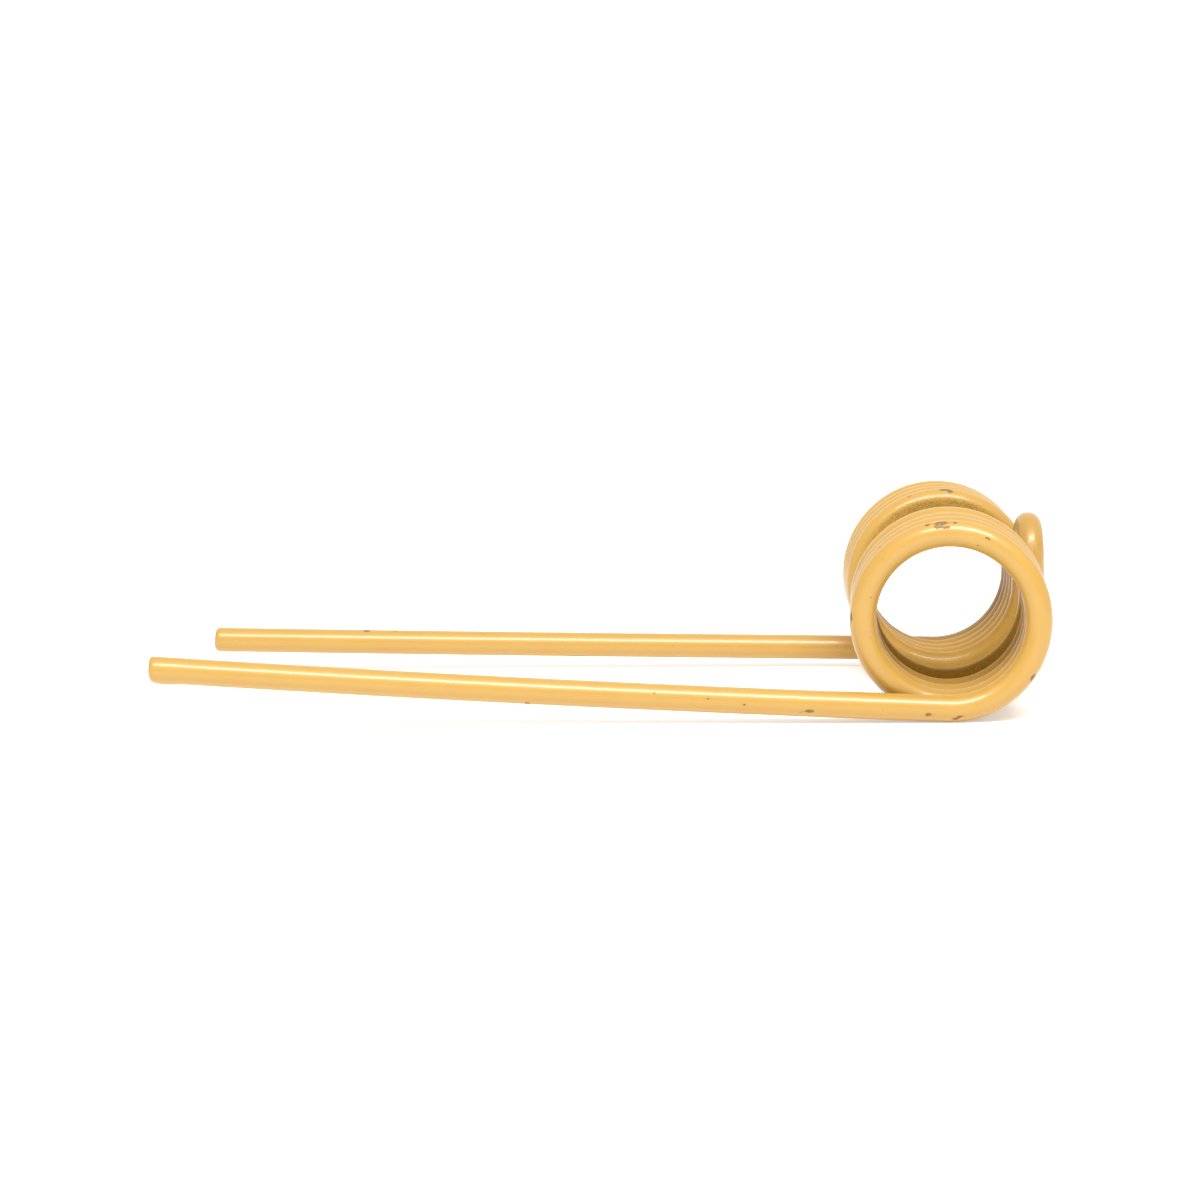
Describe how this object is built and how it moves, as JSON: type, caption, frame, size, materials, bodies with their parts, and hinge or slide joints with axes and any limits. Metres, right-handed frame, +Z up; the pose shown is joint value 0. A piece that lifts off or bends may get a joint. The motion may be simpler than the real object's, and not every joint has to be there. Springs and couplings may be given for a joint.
{
  "type": "double torsion spring tine",
  "caption": "Yellow painted spring-steel tine for a hay tedder or rake: a mounting loop between two torsion coils, each ending in a straight leg.",
  "frame": {"origin": "below the middle of the tine's overall box, on the surface that it lies on", "axes": "+X from the leg tips towards the mounting loop, +Y from the front coil to the rear coil along the coil axis, +Z up"},
  "size_m": [0.3262, 0.1352, 0.0743],
  "materials": {
    "yellow_paint": "gloss enamel over spring steel wire, with fine orange peel and small chips"
  },
  "bodies": {
    "loop": {"mounting_loop": "yellow_paint"},
    "front_leg": {"front_coil_exit": "yellow_paint", "front_leg": "yellow_paint"},
    "rear_leg": {"rear_coil_exit": "yellow_paint", "rear_leg": "yellow_paint"},
    "front_turn_1": {"front_coil_turn_1": "yellow_paint"},
    "front_turn_2": {"front_coil_turn_2": "yellow_paint"},
    "front_turn_3": {"front_coil_turn_3": "yellow_paint"},
    "front_turn_4": {"front_coil_turn_4": "yellow_paint"},
    "rear_turn_1": {"rear_coil_turn_1": "yellow_paint"},
    "rear_turn_2": {"rear_coil_turn_2": "yellow_paint"},
    "rear_turn_3": {"rear_coil_turn_3": "yellow_paint"},
    "rear_turn_4": {"rear_coil_turn_4": "yellow_paint"}
  },
  "joints": [
    {"name": "front_leg_flex", "type": "hinge", "parent": "loop", "child": "front_leg", "pos_m": [0.12618, -0.02142, 0.03718], "axis": [0.0567, 0.998, 0.0279], "range_deg": [-5, 30], "stiffness_Nm_per_rad": 88},
    {"name": "rear_leg_flex", "type": "hinge", "parent": "loop", "child": "rear_leg", "pos_m": [0.12708, -0.00102, 0.03833], "axis": [0, 1, 0], "range_deg": [-5, 30], "stiffness_Nm_per_rad": 88},
    {"name": "front_turn_1_twist", "type": "hinge", "parent": "loop", "child": "front_turn_1", "pos_m": [0.12618, -0.02142, 0.03718], "axis": [0.0567, 0.998, 0.0279], "range_deg": [-0.6, 3.6]},
    {"name": "front_turn_2_twist", "type": "hinge", "parent": "loop", "child": "front_turn_2", "pos_m": [0.12618, -0.02142, 0.03718], "axis": [0.0567, 0.998, 0.0279], "range_deg": [-1.8, 10.6]},
    {"name": "front_turn_3_twist", "type": "hinge", "parent": "loop", "child": "front_turn_3", "pos_m": [0.12618, -0.02142, 0.03718], "axis": [0.0567, 0.998, 0.0279], "range_deg": [-3, 17.7]},
    {"name": "front_turn_4_twist", "type": "hinge", "parent": "loop", "child": "front_turn_4", "pos_m": [0.12618, -0.02142, 0.03718], "axis": [0.0567, 0.998, 0.0279], "range_deg": [-4.2, 24.8]},
    {"name": "rear_turn_1_twist", "type": "hinge", "parent": "loop", "child": "rear_turn_1", "pos_m": [0.12708, -0.00102, 0.03833], "axis": [0, 1, 0], "range_deg": [-0.6, 3.6]},
    {"name": "rear_turn_2_twist", "type": "hinge", "parent": "loop", "child": "rear_turn_2", "pos_m": [0.12708, -0.00102, 0.03833], "axis": [0, 1, 0], "range_deg": [-1.8, 10.6]},
    {"name": "rear_turn_3_twist", "type": "hinge", "parent": "loop", "child": "rear_turn_3", "pos_m": [0.12708, -0.00102, 0.03833], "axis": [0, 1, 0], "range_deg": [-3, 17.7]},
    {"name": "rear_turn_4_twist", "type": "hinge", "parent": "loop", "child": "rear_turn_4", "pos_m": [0.12708, -0.00102, 0.03833], "axis": [0, 1, 0], "range_deg": [-4.2, 24.8]}
  ],
  "couplings": [
    {"joint": "front_turn_1_twist", "follows": "front_leg_flex", "ratio": 0.1176},
    {"joint": "front_turn_2_twist", "follows": "front_leg_flex", "ratio": 0.3529},
    {"joint": "front_turn_3_twist", "follows": "front_leg_flex", "ratio": 0.5882},
    {"joint": "front_turn_4_twist", "follows": "front_leg_flex", "ratio": 0.8235},
    {"joint": "rear_turn_1_twist", "follows": "rear_leg_flex", "ratio": 0.1176},
    {"joint": "rear_turn_2_twist", "follows": "rear_leg_flex", "ratio": 0.3529},
    {"joint": "rear_turn_3_twist", "follows": "rear_leg_flex", "ratio": 0.5882},
    {"joint": "rear_turn_4_twist", "follows": "rear_leg_flex", "ratio": 0.8235}
  ]
}
